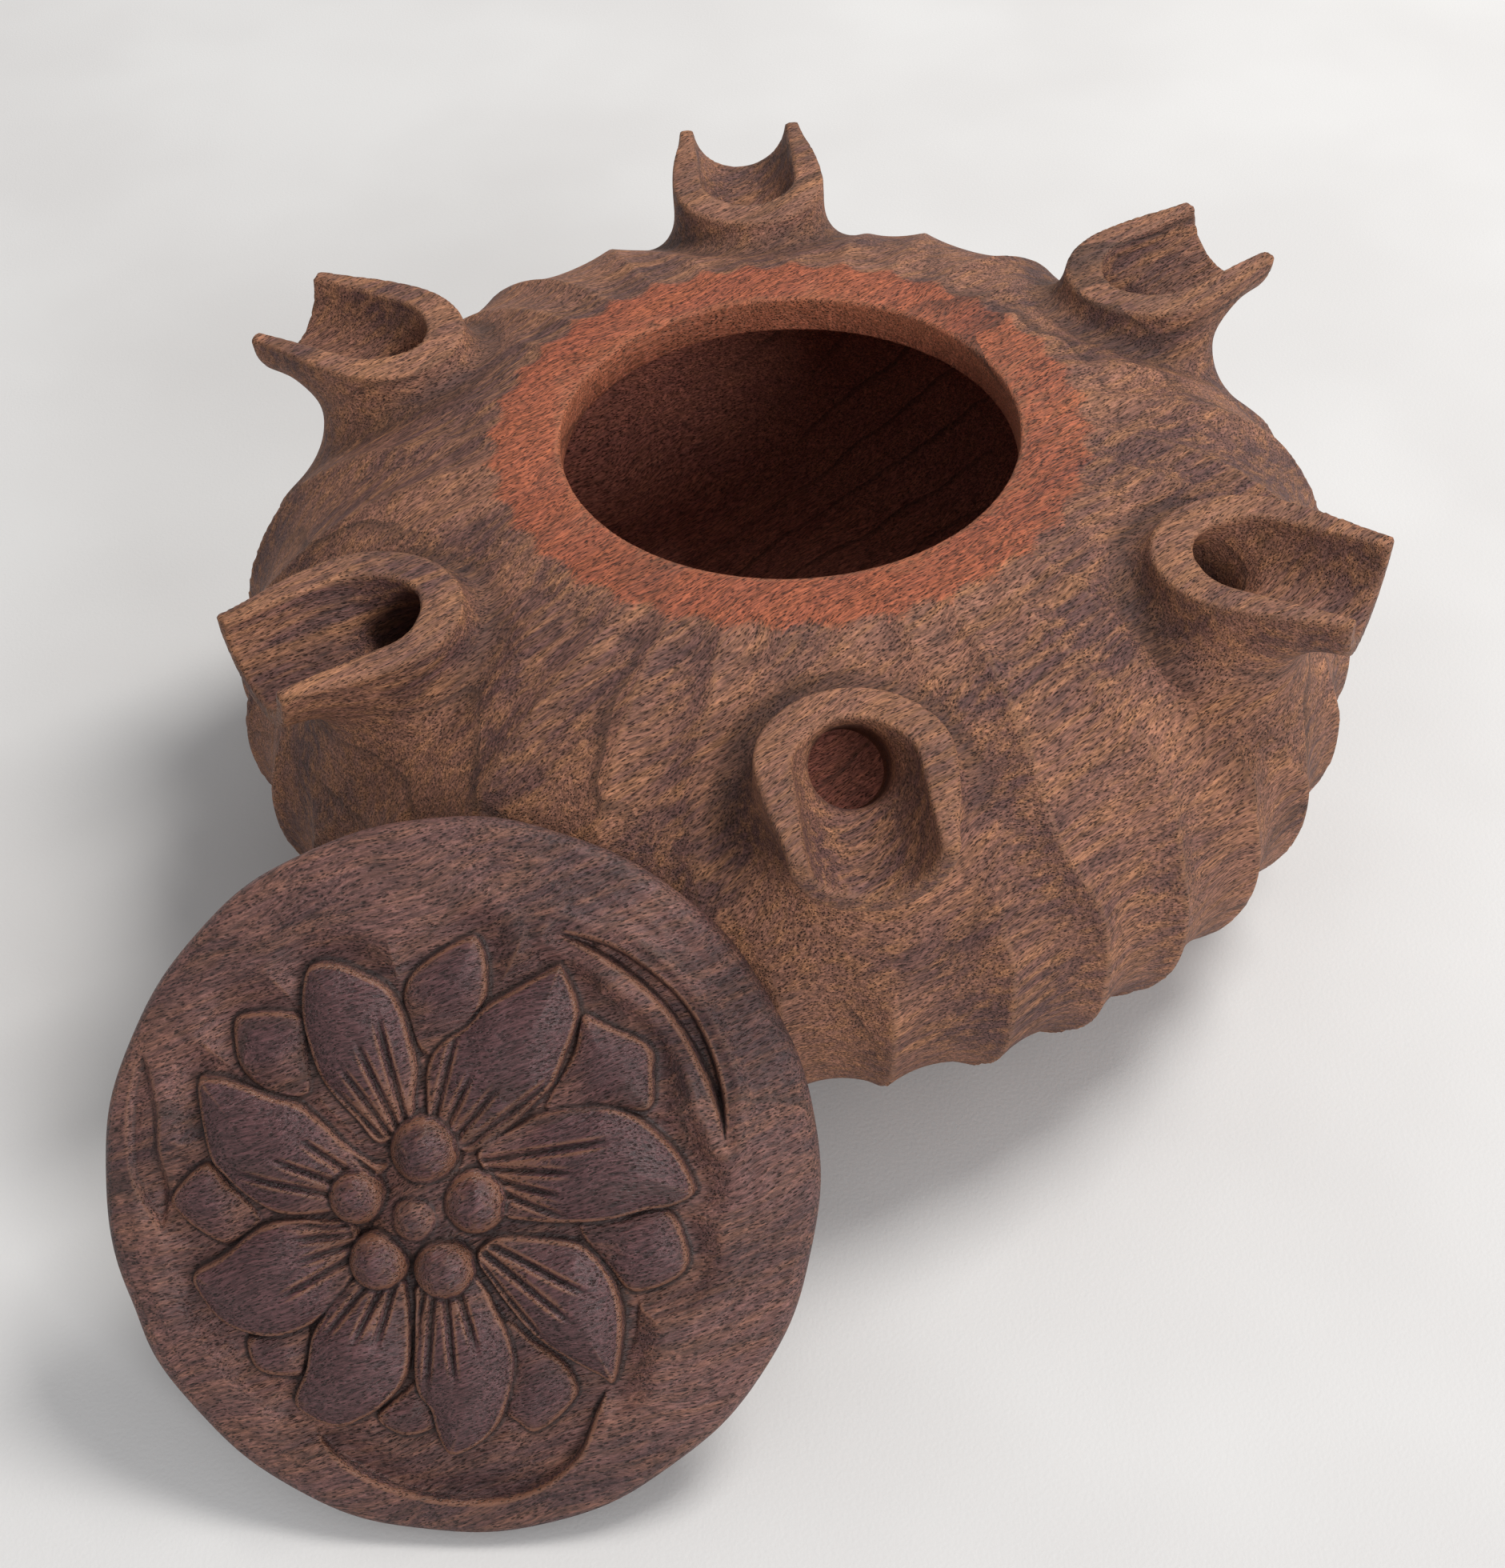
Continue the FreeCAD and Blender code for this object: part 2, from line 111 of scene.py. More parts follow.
# The box that holds the cup, and how finely each piece is made.
CUP_LOW = (-104, -104, -2.4)
CUP_HIGH = (104, 104, 87)
CUP_VOXEL = 0.8
CUP_TRIANGLES = 190000
LID_CELLS = 440
LID_TRIANGLES = 180000


def smooth_max(a, b, blend):
    """The larger of two distances, with the corner between them rounded over a width of blend."""
    overlap = np.maximum(blend - np.abs(a - b), 0) / blend
    return np.maximum(a, b) + overlap * overlap * (blend / 4)


def smooth_min(a, b, blend):
    """The smaller of two distances, rounded in the same way."""
    return -smooth_max(-a, -b, blend)


def ramp(value, low, high):
    """0 below low, 1 above high, and a smooth rise between them."""
    share = np.clip((value - low) / (high - low), 0, 1)
    return share * share * (3 - 2 * share)


def rod(x, y, z, start, end, start_radius, end_radius):
    """Distance to a rod with round ends, whose radius changes evenly from start to end."""
    start, end = np.array(start), np.array(end)
    along = end - start
    x, y, z = x - start[0], y - start[1], z - start[2]
    share = np.clip((x * along[0] + y * along[1] + z * along[2]) / (along @ along), 0, 1)
    reach = np.sqrt((x - share * along[0]) ** 2 + (y - share * along[1]) ** 2 + (z - share * along[2]) ** 2)
    return reach - start_radius - share * (end_radius - start_radius)


def quarter_ellipse(across, up, reach, rise):
    """Distance to an ellipse round the origin, true near its line."""
    scaled = np.hypot(across / reach, up / rise)
    slope = np.hypot(across / reach ** 2, up / rise ** 2)
    return scaled * (scaled - 1) / np.maximum(slope, 1e-6)


def block_distance(x, y, z):
    """Distance to the turned block before carving: a quarter ellipse over the bulge and one under it."""
    r = np.hypot(x + BLOCK_SHIFT, y)
    bulge = BULGE_REACH - BLOCK_SHIFT
    upper = quarter_ellipse(np.maximum(r - RING_REACH, 0), z - BULGE_HEIGHT,
                            bulge - RING_REACH, TOP - BULGE_HEIGHT)
    upper = np.where(r < RING_REACH, z - TOP, upper)
    lower = quarter_ellipse(np.maximum(r - FOOT_RADIUS, 0), BULGE_HEIGHT - z,
                            bulge - FOOT_RADIUS, BULGE_HEIGHT - FOOT_STEP)
    lower = np.where(r < FOOT_RADIUS, FOOT_STEP - z, lower)
    turned = np.where(z > BULGE_HEIGHT, upper, lower)
    foot = np.maximum(np.maximum(r - FOOT_RADIUS, -z), z - 2 * FOOT_STEP)
    return np.minimum(turned, foot)


def spout_frame(x, y):
    """Each point in its nearest spout's frame: outward, sideways, and the angle off its even place."""
    azimuth = np.degrees(np.arctan2(y, x))
    number = np.round((azimuth - SPOUT_TURN) / SPOUT_PITCH)
    off = azimuth - SPOUT_TURN - SPOUT_PITCH * number
    stray = np.array(SPOUT_STRAY, np.float32)[number.astype(int) % SPOUTS]
    turned = np.radians(off - stray)
    r = np.hypot(x, y)
    return r * np.cos(turned), r * np.sin(turned), off


def carving_depth(r, z, azimuth, off, out, across):
    """How deep the gouge has gone into the block: flutes all round, and a wide scoop round each spout."""
    top = ramp(z, 50, 66)
    spread = FLUTE_SPREAD * top * ramp(r, 55, 88)
    wander = 0.45 * np.sin(np.radians(7 * azimuth) + 0.8) + 0.35 * np.sin(np.radians(13 * azimuth) + 0.03 * z)
    flute_angle = azimuth + wander + spread * np.sin(np.radians(SPOUTS * off)) - FLUTE_TURN
    phase = np.abs((flute_angle + 180 / FLUTES) % (360 / FLUTES) - 180 / FLUTES)
    aside = r * np.radians(phase)
    half_pitch = np.pi * r / FLUTES
    full = half_pitch ** 2 / (2 * GOUGE) + BITE
    entry = (r - ENTRY_RADIUS) * ENTRY_SLOPE
    leaving = (z - LEAVING_HEIGHT) * LEAVING_SLOPE
    path = np.where(z > BULGE_HEIGHT, np.minimum(full, entry), np.minimum(full, leaving))
    flute = np.maximum(path - aside ** 2 / (2 * GOUGE), 0)
    away = np.sqrt(((out - SCOOP_REACH) / SCOOP_STRETCH) ** 2 + across ** 2 + (z - SCOOP_HEIGHT) ** 2)
    scoop = SCOOP_DEPTH * (1 - (away / SCOOP_RADIUS) ** 2)
    return smooth_max(flute, scoop, 0.4)


def spout_distance(out, across, z):
    """The spout's outer form: a trunk that leans outward, and a lip like half a pipe, cut level and plumb."""
    axis = TOP + RIM_RISE
    lip = rod(out, across, z, (ARCH_CENTRE, 0, axis), (LIP_REACH + 4, 0, axis),
              LIP_RADIUS + WIDER_BEHIND, LIP_RADIUS - NARROWER_AHEAD)
    lip = lip - LIP_SWELL * np.exp(-((out - SWELL_REACH) / SWELL_WIDTH) ** 2)
    root = (TRUNK_ROOT_REACH, 0, TOP - TRUNK_ROOT_DROP)
    trunk = rod(out, across, z, (ARCH_CENTRE, 0, axis - 1), root, TRUNK_RADIUS, TRUNK_ROOT_RADIUS)
    form = smooth_min(lip, trunk, 5.0)
    return smooth_max(form, out - LIP_REACH, 0.6)


def channel_distance(out, across, z):
    """The hollow of a spout: an open channel that narrows into the slanting bore."""
    axis = TOP + RIM_RISE
    past = (LIP_REACH + 12, 0, axis + CHANNEL_RISE)
    open_part = rod(out, across, z, (CHANNEL_CENTRE, 0, axis), past, CHANNEL_RADIUS, CHANNEL_RADIUS)
    start = (BORE_START, 0, TOP - BORE_DROP)
    end = (start[0] - BORE_LENGTH * math.cos(BORE_SLOPE), 0, start[2] - BORE_LENGTH * math.sin(BORE_SLOPE))
    bore = rod(out, across, z, start, end, BORE_RADIUS, BORE_RADIUS)
    return smooth_min(open_part, bore, 2.5)


def hollow_distance(r, z, block):
    """The turned hollow: a neck under the mouth's edge, and a cave that keeps off the outside."""
    half = (CAVE_TOP - FLOOR) / 2
    beside = r - (BULGE_REACH - WALL - CAVE_CORNER)
    above = np.abs(z - FLOOR - half) - (half - CAVE_CORNER)
    cave = np.hypot(np.maximum(beside, 0), np.maximum(above, 0)) + np.minimum(np.maximum(beside, above), 0)
    cave = smooth_max(cave - CAVE_CORNER, block + THIN_WALL, 3.0)
    over_ceiling = CEILING_STEEP * (z - (TOP - NECK_DEPTH - CEILING_FALL * (r - MOUTH_RADIUS)))
    undercut = np.maximum(np.maximum(over_ceiling, r - UNDERCUT_RADIUS), UNDERCUT_HEIGHT - z)
    cave = smooth_min(cave, undercut, 6.0)
    cave = np.maximum(cave, over_ceiling)
    neck = np.maximum(r - MOUTH_RADIUS, TOP - NECK_DEPTH - NECK_OVERLAP - z)
    return np.minimum(cave, neck)


def cup_distance(points):
    """Signed distance to the carved cup, negative inside the wood."""
    x, y, z = points
    r = np.hypot(x, y)
    azimuth = np.degrees(np.arctan2(y, x))
    out, across, off = spout_frame(x, y)
    block = block_distance(x, y, z)
    body = block + carving_depth(r, z, azimuth, off, out, across)
    spout = spout_distance(out, across, z)
    wood = smooth_min(body, spout, 6.0 + 3.5 * ramp(out, 70, 88))
    rim = TOP + 0.3 + (RIM_RISE - 0.3) * ramp(out, 66, LIP_REACH)
    wood = smooth_max(wood, z - rim, 0.6)
    wood = np.maximum(wood, -z)
    wood = smooth_max(wood, -channel_distance(out, across, z), 0.7)
    return smooth_max(wood, -hollow_distance(r, z, block), 0.8)


def voxel_mesh(distance, low, high, voxel):
    """Quads on the zero surface of a distance function, pulled onto it so that its edges stay crisp."""
    low = np.array(low, np.float32)
    count = np.ceil((np.array(high) - low) / voxel).astype(int) + 1
    axes = [low[k] + voxel * np.arange(count[k], dtype=np.float32) for k in range(3)]
    field = np.empty(count, np.float32)
    band = 3 * voxel
    step = 8
    for first in range(0, count[0], step):
        block = np.meshgrid(axes[0][first:first + step], axes[1], axes[2], indexing="ij")
        field[first:first + step] = np.clip(distance(block), -band, band)
    grid = openvdb.FloatGrid(band)
    grid.copyFromArray(field)
    places, quads = grid.convertToQuads(0.0)
    places = (low + places * voxel).astype(np.float32)
    reach = 0.15 * voxel
    for _ in range(3):
        here = distance(places.T)
        slope = np.empty_like(places)
        for k in range(3):
            shift = np.zeros((3, 1), np.float32)
            shift[k] = reach
            slope[:, k] = (distance(places.T + shift) - distance(places.T - shift)) / (2 * reach)
        steep = np.maximum((slope ** 2).sum(1), 0.25)
        move = -(here / steep)[:, None] * slope
        length = np.linalg.norm(move, axis=1, keepdims=True)
        places += move * np.minimum(1, 0.6 * voxel / np.maximum(length, 1e-6))
    places[:, 2] = np.clip(places[:, 2], 0, TOP + RIM_RISE)
    return places, quads[:, ::-1]


def mesh_piece(name, places, faces, triangles):
    """A smoothly shaded object of points in millimetres and faces, thinned to about so many triangles."""
    mesh = bpy.data.meshes.new(name)
    mesh.from_pydata((places * MM).tolist(), [], faces)
    mesh.validate()
    piece = bpy.data.objects.new(name, mesh)
    bpy.context.scene.collection.objects.link(piece)
    count = sum(len(face) - 2 for face in faces)
    if count > triangles:
        thin = piece.modifiers.new("thin", "DECIMATE")
        thin.ratio = triangles / count
        evaluated = piece.evaluated_get(bpy.context.evaluated_depsgraph_get())
        piece.data = bpy.data.meshes.new_from_object(evaluated)
        piece.modifiers.clear()
        bpy.data.meshes.remove(mesh)
    piece.data.polygons.foreach_set("use_smooth", [True] * len(piece.data.polygons))
    piece.data.update()
    return piece


def points_of(piece):
    """The piece's points in millimetres, as three rows."""
    flat = np.empty(3 * len(piece.data.vertices))
    piece.data.vertices.foreach_get("co", flat)
    return flat.reshape(-1, 3).T / MM


def bend(distance, spots, reach):
    """How sharply the form bends at each point: above 0 on an edge, below 0 in a groove."""
    total = -6 * distance(spots)
    for k in range(3):
        shift = np.zeros((3, 1))
        shift[k] = reach
        total = total + distance(spots + shift) + distance(spots - shift)
    return total / reach


def paint(piece, bare, inside, wear_dirt_and_painted_light):
    """Keep at each point how bare it is, how far inside the cup's hollow (painted light) or on smooth petal,
    and how much to lighten it (+) for rubbed edges and painted highlight, or darken it (-) for dirt and
    painted shade.
    """
    layer = piece.data.attributes.new("carving", "FLOAT_VECTOR", "POINT")
    layer.data.foreach_set("vector", np.stack([bare, inside, wear_dirt_and_painted_light], 1).astype(np.float32).ravel())


# The lid, in its own millimetres: X across, Y up its slope, Z out of its carved face.
LID_PLACE = (-50.847, -118.587, 36.83)
LID_HEADING = math.radians(-91.7)
LID_ELEVATION = math.radians(44.1)
LID_RADIUS = 52.7
LID_EDGE = 5.0
DOME_RISE = 4.2
DOME_RADIUS = 302.1
SPIGOT_RADIUS = 38.5
SPIGOT_DEPTH = 5.0
FLOWER = (-6.2, -5.3)
LID_GRAIN = math.radians(18.0)

# Outlines of the carved forms, each from its root round its tip and back. The tip is the numbered point.
PETALS = (
    (5, ((-10.9, 5.5), (-14.5, 9.1), (-18.9, 14.0), (-21.2, 19.6), (-22.3, 25.4), (-21.4, 31.1),
         (-17.3, 31.9), (-12.7, 30.3), (-9.1, 28.2), (-7.0, 24.7), (-6.0, 21.1), (-5.1, 16.9),
         (-5.5, 12.7), (-6.1, 8.3))),
    (8, ((-3.5, 7.0), (-4.2, 13.4), (-3.8, 17.6), (-1.8, 20.5), (1.8, 22.9), (4.6, 25.7), (9.6, 28.6),
         (13.8, 30.9), (15.7, 31.3), (17.1, 28.8), (18.1, 26.2), (18.2, 23.2), (16.4, 18.3),
         (14.5, 14.0), (11.2, 10.7), (7.6, 7.4), (3.4, 4.6), (0.7, 4.6))),
    (9, ((3.1, 3.6), (4.7, 6.2), (9.0, 8.4), (12.5, 10.3), (17.6, 11.2), (22.5, 11.2), (26.7, 9.6),
         (30.3, 6.7), (33.0, 3.4), (34.9, -1.3), (31.8, -3.5), (27.5, -4.2), (22.5, -5.5), (16.9, -6.0),
         (11.2, -5.8), (7.0, -4.9), (6.0, -0.9))),
    (8, ((3.4, -9.5), (6.0, -7.7), (9.0, -7.5), (14.0, -7.8), (18.2, -8.6), (21.1, -11.1),
         (23.5, -15.2), (24.4, -20.9), (23.0, -29.2), (20.3, -28.2), (15.2, -25.2), (11.0, -22.2),
         (7.5, -18.2), (4.9, -14.5), (3.0, -11.6))),
    (7, ((-5.5, -14.5), (-6.2, -18.0), (-6.4, -23.0), (-6.5, -28.1), (-5.8, -31.2), (-4.2, -33.3),
         (-3.3, -37.0), (-1.2, -40.3), (3.2, -38.5), (6.3, -35.1), (8.0, -30.6), (8.7, -26.2),
         (7.9, -22.1), (6.1, -18.6), (4.0, -14.5), (1.0, -12.3))),
    (8, ((-8.1, -13.5), (-6.8, -17.0), (-6.5, -21.0), (-6.6, -25.6), (-7.6, -29.2), (-10.4, -32.6),
         (-13.9, -35.0), (-18.4, -36.4), (-24.2, -32.9), (-22.4, -27.4), (-21.5, -22.7), (-19.8, -19.6),
         (-17.2, -16.1), (-13.5, -13.0))),
    (6, ((-14.8, -5.6), (-18.2, -5.5), (-22.5, -5.3), (-27.0, -5.8), (-30.5, -7.7), (-34.2, -10.8),
         (-39.0, -13.8), (-37.6, -17.6), (-34.9, -20.7), (-30.9, -22.5), (-26.4, -23.0), (-21.7, -21.4),
         (-18.0, -18.5), (-15.1, -14.4), (-13.7, -11.0))),
    (7, ((-16.0, -3.6), (-19.1, -4.7), (-22.5, -5.1), (-26.2, -4.8), (-30.0, -2.7), (-33.6, 0.4),
         (-36.2, 4.0), (-37.9, 14.1), (-35.4, 15.3), (-31.1, 14.4), (-26.6, 12.7), (-22.5, 11.6),
         (-18.9, 8.8), (-15.4, 5.5), (-12.0, 3.0), (-10.0, 2.0))),
)
BACK_PETALS = (
    (4, ((-6.8, 23.3), (-7.6, 26.8), (-6.3, 30.2), (-2.2, 33.5), (2.7, 35.7), (4.6, 33.5), (5.2, 29.2),
         (4.3, 25.3), (-0.3, 19.2), (-4.5, 18.4))),
    (4, ((12.9, 10.9), (17.0, 18.7), (18.4, 24.2), (22.7, 22.6), (28.3, 19.8), (29.0, 15.6),
         (28.3, 10.3), (22.5, 10.4), (16.3, 9.9))),
    (4, ((18.2, -5.4), (24.2, -4.7), (29.5, -3.5), (32.0, -5.1), (33.8, -10.0), (33.2, -13.2),
         (29.5, -15.5), (25.1, -16.1), (22.0, -12.7), (18.2, -8.0))),
    (3, ((6.9, -20.0), (11.2, -23.1), (15.7, -26.2), (17.6, -30.8), (14.4, -35.0), (10.8, -37.0),
         (8.3, -35.4), (6.5, -33.7), (6.2, -28.1))),
    (3, ((-5.7, -28.1), (-7.4, -30.2), (-12.3, -34.6), (-8.4, -37.7), (-3.9, -36.6), (-3.1, -34.3),
         (-4.4, -31.2))),
    (3, ((-21.7, -20.8), (-26.4, -22.3), (-31.1, -23.1), (-30.0, -28.0), (-25.1, -29.1), (-22.2, -27.8))),
    (3, ((-28.6, -5.2), (-33.3, -0.4), (-36.8, 2.7), (-42.3, -2.6), (-40.8, -5.6), (-37.3, -8.2),
         (-33.8, -9.6), (-30.3, -7.9))),
    (3, ((-21.1, 12.7), (-21.4, 18.7), (-22.1, 24.2), (-31.5, 24.3), (-32.6, 20.1), (-31.1, 15.6),
         (-26.6, 12.3))),
)
# The berries: each one's place and radius.
BERRIES = ((-4.2, 4.9, 5.1), (-14.2, -1.9, 4.2), (3.0, -2.6, 4.8), (-5.7, -5.1, 3.7), (-11.1, -11.3, 4.4),
           (-1.5, -12.3, 4.6))
BERRY_SEAT = 1.5
FACET_LEANS = (0.18, 0.5, 0.62, 0.55, 0.68, 0.6, 0.72)
# How high the petals rise over their ground, how deep the ground and each cut are, and the grooves' fan.
PETAL_HEIGHT = 2.2
PETAL_CROWN = 1.5
BACK_HEIGHT = 1.2
BACK_CROWN = 0.8
GROUND_DEPTH = 2.3
RIBBON_DEPTH = 2.4
CRESCENT_DEPTH = 2.6
CRESCENT_RIDGE = 0.6
LEFT_CRESCENT_DEPTH = 0.9
WELL_DEPTH = 0.8
GROOVE_ANGLES = (-17, -6, 6, 17)
GROOVE_DEPTH = 0.9
GROOVE_WIDTH = 0.75
FAN_REACH = 7.0
# The sunk ribbon under the flower, the gouged crescent at its upper right, and a shallow one at its left.
RIBBON = ((-25.0, -31.5), (-21.0, -38.3), (-16.8, -42.0), (-11.0, -45.0), (-3.8, -46.9), (3.4, -47.3),
          (9.2, -46.2), (14.3, -43.4), (17.9, -39.7), (20.4, -33.9), (22.6, -30.0), (25.4, -25.8),
          (26.6, -21.1), (26.0, -15.8), (18.2, -18.1), (8.2, -24.1), (-3.7, -28.1), (-13.8, -28.2))
CRESCENT = ((15.2, 35.8), (20.6, 35.0), (25.4, 32.8), (30.6, 28.8), (34.6, 24.2), (37.4, 18.4),
            (39.0, 12.0), (39.0, 5.9), (37.8, 10.1), (35.6, 15.9), (32.2, 22.1), (27.6, 27.5),
            (22.0, 31.7))
LEFT_CRESCENT = ((-45.9, 18.6), (-48.0, 13.6), (-48.5, 7.6), (-48.3, 1.6), (-46.6, -3.3), (-43.5, -8.1),
                 (-42.6, -2.6), (-43.3, 4.4), (-43.7, 11.3))


def round_outline(points, parts=5):
    """A closed smooth line through the points."""
    points = np.array(points)
    before, after, later = np.roll(points, 1, 0), np.roll(points, -1, 0), np.roll(points, -2, 0)
    line = []
    for part in range(parts):
        t = part / parts
        line.append(0.5 * (2 * points + (after - before) * t
                           + (2 * before - 5 * points + 4 * after - later) * t ** 2
                           + (3 * points - before - 3 * after + later) * t ** 3))
    return np.stack(line, 1).reshape(-1, 2)


def inside_distance(x, y, outline):
    """Distance to a closed outline, positive inside it."""
    nearest = np.full(x.shape, 1e9)
    inside = np.zeros(x.shape, bool)
    for (x0, y0), (x1, y1) in zip(outline, np.roll(outline, -1, 0)):
        dx, dy = x1 - x0, y1 - y0
        share = np.clip(((x - x0) * dx + (y - y0) * dy) / (dx * dx + dy * dy + 1e-9), 0, 1)
        nearest = np.minimum(nearest, (x - x0 - share * dx) ** 2 + (y - y0 - share * dy) ** 2)
        if y0 != y1:
            crossing = ((y0 <= y) != (y1 <= y)) & (x < x0 + (y - y0) / (y1 - y0) * dx)
            inside ^= crossing
    return np.where(inside, 1, -1) * np.sqrt(nearest)


def near_distance(x, y, outline, margin=10.0):
    """inside_distance where the point lies near the outline, and far outside it elsewhere."""
    line = round_outline(outline)
    low, high = line.min(0) - margin, line.max(0) + margin
    near = (x > low[0]) & (x < high[0]) & (y > low[1]) & (y < high[1])
    distance = np.full(x.shape, -30.0)
    distance[near] = inside_distance(x[near], y[near], line)
    return distance


def petal_height(x, y, outline, tip, height, crown, grooves):
    """A carved petal over its ground: steep sides, a bevel and an arched back, with grooves at its root."""
    points = np.array(outline)
    root = (points[0] + points[-1]) / 2
    along = points[tip] - root
    length = np.linalg.norm(along)
    along /= length
    near = ((x > points[:, 0].min() - 1) & (x < points[:, 0].max() + 1)
            & (y > points[:, 1].min() - 1) & (y < points[:, 1].max() + 1))
    level = np.zeros(x.shape)
    px, py = x[near], y[near]
    deep = inside_distance(px, py, round_outline(outline))
    share = ((px - root[0]) * along[0] + (py - root[1]) * along[1]) / length
    aside = (py - root[1]) * along[0] - (px - root[0]) * along[1]
    side = height * (0.45 + 0.55 * ramp(share, 0.05, 0.75)) * ramp(deep, 0.0, 0.55)
    bevel = 0.5 * np.clip((deep - 0.3) / 1.0, 0, 1)
    arch = 1 - (1 - np.clip((deep - 1.2) / 6.0, 0, 1)) ** 2
    form = side + (bevel + crown * arch) * ramp(share, -0.1, 0.5)
    fan = np.degrees(np.arctan2(aside, share * length + FAN_REACH))
    for turn, reach in grooves:
        line = np.abs(fan - turn) * np.radians(share * length + FAN_REACH)
        cut = GROOVE_DEPTH * np.clip(1 - line / GROOVE_WIDTH, 0, 1) * (1 - ramp(share, reach - 0.22, reach))
        form = form - cut * ramp(deep, 0.3, 1.2)
    level[near] = np.where(deep > 0, form, 0)
    return level


def berry_height(x, y, middle_x, middle_y, radius, seed):
    """A ball with a few flat cuts of the knife on it."""
    reach = (x - middle_x) ** 2 + (y - middle_y) ** 2
    ball = np.sqrt(np.maximum(radius ** 2 - reach, 0))
    turns = np.arange(len(FACET_LEANS)) * 2.4 + seed
    for number, turn in enumerate(turns):
        lean = FACET_LEANS[number]
        nx, ny, nz = math.sin(lean) * math.cos(turn), math.sin(lean) * math.sin(turn), math.cos(lean)
        cut = (0.965 * radius - nx * (x - middle_x) - ny * (y - middle_y)) / nz
        ball = np.minimum(ball, np.maximum(cut, 0))
    return np.where(reach < radius ** 2, ball, -9.0)


def lid_top(x, y, petals=False):
    """Height of the lid's carved face, or the share of smooth petal or berry at each point."""
    r = np.hypot(x, y)
    turn = np.arctan2(y, x)
    brow = LID_EDGE + DOME_RISE - r ** 2 / (2 * DOME_RADIUS)
    brow = brow + 0.1 * np.sin(7 * turn + 0.3 * r) * ramp(r, 20, 40) + 0.06 * np.sin(19 * turn - 0.5 * r)
    border = ramp(r, 36, 42) * (0.4 + 0.6 * np.sin(2 * turn) ** 2)
    brow = brow + 0.09 * np.sin(2.3 * r + 1.5 * np.sin(3 * turn)) * border
    flower = np.full(x.shape, -30.0)
    for tip, outline in PETALS + BACK_PETALS:
        flower = np.maximum(flower, near_distance(x, y, outline))
    sunk = GROUND_DEPTH * (1 - ramp(-flower, 0.5, 6.0))
    bed = brow - sunk
    ribbon = near_distance(x, y, RIBBON)
    sunk = np.maximum(sunk, RIBBON_DEPTH * ramp(ribbon, -0.1, 0.7) - 0.4 * ramp(ribbon, 2.0, 5.0))
    crescent = near_distance(x, y, CRESCENT)
    left = near_distance(x, y, LEFT_CRESCENT)
    ridge = CRESCENT_RIDGE * np.exp(-((crescent + 2.2) / 1.3) ** 2)
    ground = brow - sunk + ridge
    ground = ground - CRESCENT_DEPTH * ramp(crescent, -0.1, 1.0) - LEFT_CRESCENT_DEPTH * ramp(left, -0.1, 1.2)
    well = np.hypot(x - FLOWER[0], y - FLOWER[1])
    ground = ground - WELL_DEPTH * (1 - ramp(well, 6, 13))
    top = ground
    for tip, outline in BACK_PETALS:
        form = petal_height(x, y, outline, tip, BACK_HEIGHT, BACK_CROWN, ())
        top = np.where(form > 0, np.maximum(top, bed + form), top)
    for number, (tip, outline) in enumerate(PETALS):
        grooves = [(angle + 2 * math.sin(3 * number + angle), 0.55 + 0.12 * math.sin(5 * number + angle))
                   for angle in GROOVE_ANGLES]
        form = petal_height(x, y, outline, tip, PETAL_HEIGHT, PETAL_CROWN, grooves)
        top = np.where(form > 0, np.maximum(top, bed + form), top)
    base = LID_EDGE + BERRY_SEAT
    for number, (bx, by, radius) in enumerate(BERRIES):
        top = np.maximum(top, base + berry_height(x, y, bx, by, radius, 1.7 * number))
    return ramp(top - ground, 0.8, 2.2) if petals else top


def square_on_disc(count):
    """A square grid of count by count cells, bent onto the unit disc, with even cells and a round edge."""
    line = np.linspace(-1, 1, count + 1)
    a, b = np.meshgrid(line, line, indexing="ij")
    wide = np.abs(a) >= np.abs(b)
    reach = np.where(wide, a, b)
    with np.errstate(divide="ignore", invalid="ignore"):
        turn = np.where(wide, math.pi / 4 * b / a, math.pi / 2 - math.pi / 4 * a / b)
    turn = np.nan_to_num(turn)
    return reach * np.cos(turn), reach * np.sin(turn)


